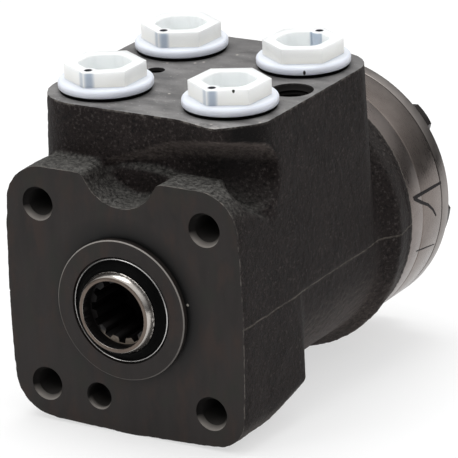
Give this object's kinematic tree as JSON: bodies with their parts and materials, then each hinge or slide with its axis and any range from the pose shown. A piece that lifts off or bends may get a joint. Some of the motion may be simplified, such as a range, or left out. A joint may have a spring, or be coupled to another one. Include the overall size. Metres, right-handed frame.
{
  "type": "orbital steering unit",
  "caption": "Hydraulic orbital steering unit: cast valve housing with plugged ports on top, splined spool in a flanged front, and a round gear stack bolted to the rear.",
  "frame": {"origin": "centre of the mounting face, on the shaft axis", "axes": "+Y along the shaft axis into the unit, +Z towards the port face, +X to the right seen from the front"},
  "size_m": [0.0898, 0.1428, 0.1112],
  "materials": {
    "cast_housing": "phosphated sand casting with machined faces",
    "plate_steel": "ground and oiled",
    "ring_steel": "ground and oiled",
    "cover_steel": "ground and oiled",
    "ground_steel": "ground",
    "polished_steel": "polished and hardened",
    "bolt_steel": "blackened",
    "washer_steel": "plain",
    "cage_steel": "pressed",
    "spring_steel": "blued strip",
    "seal_case": "pressed sheet",
    "seal_plastic": "filled seal plastic",
    "black_rubber": "smooth",
    "white_plastic": "translucent moulding"
  },
  "bodies": {
    "housing": {"housing": "cast_housing", "distributor_plate": "plate_steel", "gear_ring": "ring_steel", "end_cover": "cover_steel", "cover_bolts": "bolt_steel", "bolt_washers": "washer_steel", "housing_o_ring": "black_rubber", "plate_o_ring": "black_rubber", "cover_o_ring": "black_rubber", "dust_seal_case": "seal_case", "dust_seal_lip": "black_rubber", "seal_washer": "ground_steel", "shaft_seal_ring": "seal_plastic", "shaft_seal_o_ring": "black_rubber", "bearing_front_race": "ground_steel", "check_seat": "cage_steel"},
    "sleeve": {"sleeve": "ground_steel", "cross_pin": "ground_steel", "bearing_rear_race": "ground_steel"},
    "spool": {"spool": "polished_steel", "flat_springs": "spring_steel", "bowed_springs": "spring_steel"},
    "needle_cage": {"bearing_cage": "cage_steel", "bearing_needles": "ground_steel"},
    "spacer": {"spacer": "ground_steel"},
    "star": {"gear_star": "ground_steel"},
    "drive_link": {"drive_link": "ground_steel"},
    "check_ball": {"check_ball": "ground_steel"},
    "front_left_plug": {"front_left_plug": "white_plastic", "front_left_plug_ring": "black_rubber"},
    "front_right_plug": {"front_right_plug": "white_plastic", "front_right_plug_ring": "black_rubber"},
    "rear_left_plug": {"rear_left_plug": "white_plastic", "rear_left_plug_ring": "black_rubber"},
    "rear_right_plug": {"rear_right_plug": "white_plastic", "rear_right_plug_ring": "black_rubber"}
  },
  "joints": [
    {"name": "sleeve_turn", "type": "hinge", "parent": "housing", "child": "sleeve", "pos_m": [0, 0, 0], "axis": [0, 1, 0], "continuous": true},
    {"name": "spool_turn", "type": "hinge", "parent": "sleeve", "child": "spool", "pos_m": [0, 0, 0], "axis": [0, 1, 0], "range_deg": [-8, 8], "stiffness_Nm_per_rad": 6, "deforming": ["flat_springs", "bowed_springs"]},
    {"name": "bearing_roll", "type": "hinge", "parent": "housing", "child": "needle_cage", "pos_m": [0, 0, 0], "axis": [0, 1, 0], "continuous": true},
    {"name": "star_orbit", "type": "hinge", "parent": "housing", "child": "spacer", "pos_m": [0, 0, 0], "axis": [0, 1, 0], "continuous": true},
    {"name": "star_turn", "type": "hinge", "parent": "spacer", "child": "star", "pos_m": [0, 0, 0.0028], "axis": [0, 1, 0], "continuous": true},
    {"name": "link_turn", "type": "hinge", "parent": "spacer", "child": "drive_link", "pos_m": [0, 0.045, 0], "axis": [0, 0.9993, 0.0387], "continuous": true},
    {"name": "check_lift", "type": "slide", "parent": "housing", "child": "check_ball", "axis": [0, 0, 1], "range_m": [0, 0.0015]},
    {"name": "front_left_plug_lift", "type": "slide", "parent": "housing", "child": "front_left_plug", "axis": [0, 0, 1], "range_m": [0, 0.014]},
    {"name": "front_right_plug_lift", "type": "slide", "parent": "housing", "child": "front_right_plug", "axis": [0, 0, 1], "range_m": [0, 0.014]},
    {"name": "rear_left_plug_lift", "type": "slide", "parent": "housing", "child": "rear_left_plug", "axis": [0, 0, 1], "range_m": [0, 0.014]},
    {"name": "rear_right_plug_lift", "type": "slide", "parent": "housing", "child": "rear_right_plug", "axis": [0, 0, 1], "range_m": [0, 0.014]}
  ],
  "couplings": [
    {"joint": "bearing_roll", "follows": "sleeve_turn", "ratio": 0.5},
    {"joint": "star_orbit", "follows": "sleeve_turn", "ratio": -6},
    {"joint": "star_turn", "follows": "sleeve_turn", "ratio": 7},
    {"joint": "link_turn", "follows": "sleeve_turn", "ratio": 7}
  ]
}
